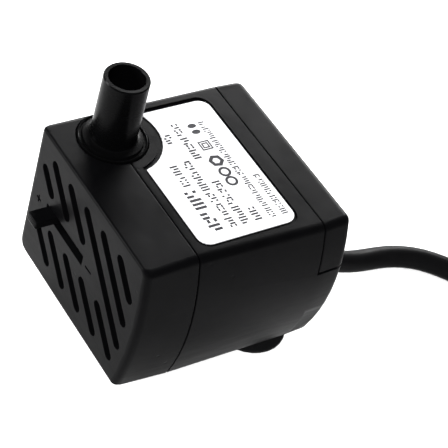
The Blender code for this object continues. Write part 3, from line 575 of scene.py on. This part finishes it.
def text_row(bm, draw, x, y, stroke, pitch, low, high):
    """Bars, dots and dashes in groups along -X: the texture of small print, without letters."""
    at = x[0]
    left = draw.randint(4, 9)
    tall = y[1] - y[0]
    while at - stroke > x[1]:
        side = (at - stroke, at)
        kind = draw.randint(0, 5)
        if kind < 2:
            bar(bm, side, y, low, high)
        elif kind == 2:
            bar(bm, side, (y[0] + 0.32 * tall, y[1]), low, high)
        elif kind == 3:
            bar(bm, side, (y[0], y[0] + 0.62 * tall), low, high)
        elif kind == 4:
            bar(bm, side, (y[0], y[0] + 0.30 * tall), low, high)
            bar(bm, side, (y[1] - 0.30 * tall, y[1]), low, high)
        else:
            dash = (at - 0.85 * pitch, at)
            bar(bm, dash, (y[1] - stroke, y[1]), low, high)
            bar(bm, dash, (y[0] + 0.4 * tall - stroke, y[0] + 0.4 * tall), low, high)
        at -= pitch
        left -= 1
        if left == 0:
            left = draw.randint(4, 9)
            at -= 0.6 * pitch


def make_label_print(finish):
    """Rows of plain bars and a few plain shapes stand for the print; they say nothing.

    The rows run along -X, and the tops of the bars are towards -Y.
    """
    draw = random.Random(4)
    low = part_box("rating_label")[1].z
    high = low + PRINT_THICKNESS
    bm = bmesh.new()

    # X of the row's start and end, Y of its top and foot, a bar's width, the distance to the next
    rows = (
        ((0.0138, 0.0026), (-0.0036, -0.0010), 0.00064, 0.00108),
        ((0.0014, -0.0048), (-0.0027, -0.0010), 0.00040, 0.00072),
        ((0.0140, -0.0052), (0.0004, 0.0022), 0.00041, 0.00070),
        ((-0.0103, -0.0133), (0.0005, 0.0022), 0.00041, 0.00070),
        ((0.0140, 0.0013), (0.0034, 0.0052), 0.00041, 0.00072),
        ((-0.0048, -0.0156), (0.0036, 0.0053), 0.00041, 0.00072),
        ((0.0140, 0.0100), (0.0064, 0.0081), 0.00041, 0.00072),
        ((0.0143, -0.0145), (0.0098, 0.0112), 0.00030, 0.00056),
        ((0.0143, 0.0025), (0.0127, 0.0141), 0.00030, 0.00056),
    )
    for x, y, stroke, pitch in rows:
        text_row(bm, draw, x, y, stroke, pitch, low, high)
    ring(bm, (0.0029, 0.0077), 0.00135, 0.00080, low, high, 28)
    ring(bm, (0.0002, 0.0077), 0.00135, 0.00080, low, high, 28)
    ring(bm, (-0.0031, 0.0077), 0.00170, 0.00085, low, high, 6, 0.3)
    ring(bm, (-0.0077, 0.0079), 0.00180, 0.00138, low, high, 4, math.pi / 4)
    ring(bm, (-0.0077, 0.0079), 0.00105, 0.00063, low, high, 4, math.pi / 4)
    for x in (-0.0118, -0.0136):
        angles = [2 * math.pi * i / 20 for i in range(20)]
        drop = [(x + 0.00062 * math.cos(a), 0.0081 + 0.00100 * math.sin(a)) for a in angles]
        flat_shape(bm, drop, low, high)
    mesh_object("label_print", bm, finish)


# ---------------------------------------------------------------- stage and light


def make_stage():
    """A white paper floor, with painted shade darkening its colour far from the pump."""
    bm = bmesh.new()
    bmesh.ops.create_grid(bm, x_segments=1, y_segments=1, size=FLOOR_SIZE)
    shader = Shader("studio_floor", 0.9, specular=0.0)
    paper = shader.mixed(shader.noise(3, 2.0, 0.5), (0.94, 0.94, 0.94), (0.96, 0.96, 0.96))
    distance = shader.tree.nodes.new("ShaderNodeVectorMath")
    distance.operation = "LENGTH"
    shader.link(shader.place, distance.inputs[0])
    # Painted shade: the floor's colour turns grey far from the pump, standing in for light that
    # falls off there
    painted_far_shade = shader.spread(distance.outputs["Value"], PAINTED_SHADE_FROM, PAINTED_SHADE_TO, 0.0, 1.0)
    shader.colour(shader.mixed(painted_far_shade, paper, (0.24, 0.24, 0.24)))
    floor = mesh_object("studio_floor", bm, shader.material, body=None)
    floor.location.z = -FLOOR_DROP


def area_light(name, place, width, height, power):
    """A soft box aimed at the middle of the pump."""
    data = bpy.data.lights.new(name, "AREA")
    data.shape = "RECTANGLE"
    data.size = width
    data.size_y = height
    data.energy = power
    light = bpy.data.objects.new(name, data)
    light.location = place
    aim = Vector((0, 0, 0.02)) - Vector(place)
    light.rotation_euler = aim.to_track_quat("-Z", "Y").to_euler()
    bpy.context.scene.collection.objects.link(light)


def make_light():
    """An even white sky, a soft sun from above the camera and two soft boxes."""
    world = bpy.data.worlds.new("studio")
    world.use_nodes = True
    sky = world.node_tree.nodes["Background"]
    sky.inputs["Color"].default_value = (1, 1, 1, 1)
    sky.inputs["Strength"].default_value = 0.38
    bpy.context.scene.world = world
    data = bpy.data.lights.new("overhead_sun", "SUN")
    data.energy = 4.2
    data.angle = math.radians(8)
    sun = bpy.data.objects.new("overhead_sun", data)
    sun.rotation_euler = Vector((0.49, -0.48, 0.73)).to_track_quat("Z", "Y").to_euler()
    sun.visible_glossy = False
    bpy.context.scene.collection.objects.link(sun)
    area_light("key_light", (-0.75, -1.02, 0.62), 0.45, 0.45, 26)
    area_light("rear_light", (-1.0, 0.95, 0.54), 1.0, 0.5, 60)
    bpy.context.scene.view_settings.view_transform = "Standard"


# ---------------------------------------------------------------- all together

make_camera()
cord_finish = vinyl("cord_vinyl", (0.0030, 0.0030, 0.0032), 0.40, 0.018)
relief_finish = vinyl("relief_rubber", (0.0035, 0.0035, 0.0037), 0.20, 0.22)
make_cord(cord_finish)

abs_black = moulded_plastic("black_abs", (0.0014, 0.0014, 0.0016), 0.34, 0.022)
abs_gloss = moulded_plastic(
    "gloss_abs", (0.0010, 0.0010, 0.0011), 0.26, 0.028, grain=0.000006, pits=False
)
soft_black = rubber("black_rubber", (0.0030, 0.0030, 0.0032), 0.60, 0.06)
film = printed_film("label_white", (0.53, 0.53, 0.54), 0.45)
nylon = moulded_plastic(
    "white_nylon", (0.74, 0.73, 0.69), 0.42, 0.45, pits=False, variation=0.05
)
ferrite = moulded_plastic(
    "ferrite", (0.040, 0.040, 0.043), 0.50, 0.50, grain=0.00005, variation=0.30
)
steel = metal("shaft_steel", (0.60, 0.60, 0.60), 0.20, (1, 0.05, 1), 5000)
tin = metal("pin_tin", (0.68, 0.68, 0.66), 0.30)
nickel = metal("blade_nickel", (0.70, 0.68, 0.64), 0.26, (0.08, 1, 1), 3000)
iron = laminations()
copper = windings()
resin = moulded_plastic("potting_resin", (0.016, 0.016, 0.017), 0.24, 0.50, grain=0.000004)
brown = vinyl("brown_vinyl", (0.13, 0.05, 0.02), 0.38, 0.5)
blue = vinyl("blue_vinyl", (0.02, 0.08, 0.35), 0.38, 0.5)
tie_black = moulded_plastic("tie_black", (0.028, 0.028, 0.030), 0.50, 0.45, pits=False)

finishes = {
    "motor_housing": abs_black,
    "front_cover": abs_black,
    "rear_cap": abs_black,
    "flow_regulator": abs_black,
    "outlet_nozzle": abs_gloss,
    "pump_chamber": abs_black,
    "impeller": nylon,
    "rotor_magnet": ferrite,
    "rotor_sleeve": nylon,
    "rotor_shaft": steel,
    "front_bush": soft_black,
    "rear_bush": soft_black,
    "stator_core": iron,
    "coil_bobbin": nylon,
    "coil_winding": copper,
    "bobbin_pin_live": tin,
    "bobbin_pin_neutral": tin,
    "lead_wire_live": brown,
    "lead_wire_neutral": blue,
    "potting_compound": resin,
    "suction_cup_rear_right": soft_black,
    "suction_cup_rear_left": soft_black,
    "suction_cup_front": soft_black,
    "rating_label": film,
    "strain_relief": relief_finish,
    "cord_run": cord_finish,
    "cord_coil": cord_finish,
    "cord_tail": cord_finish,
    "cord_tie": tie_black,
    "plug_body": cord_finish,
    "plug_blade_left": nickel,
    "plug_blade_right": nickel,
}
dress(finishes)
make_cap_lip(abs_black)
make_label_print(ink())
make_stage()
make_light()
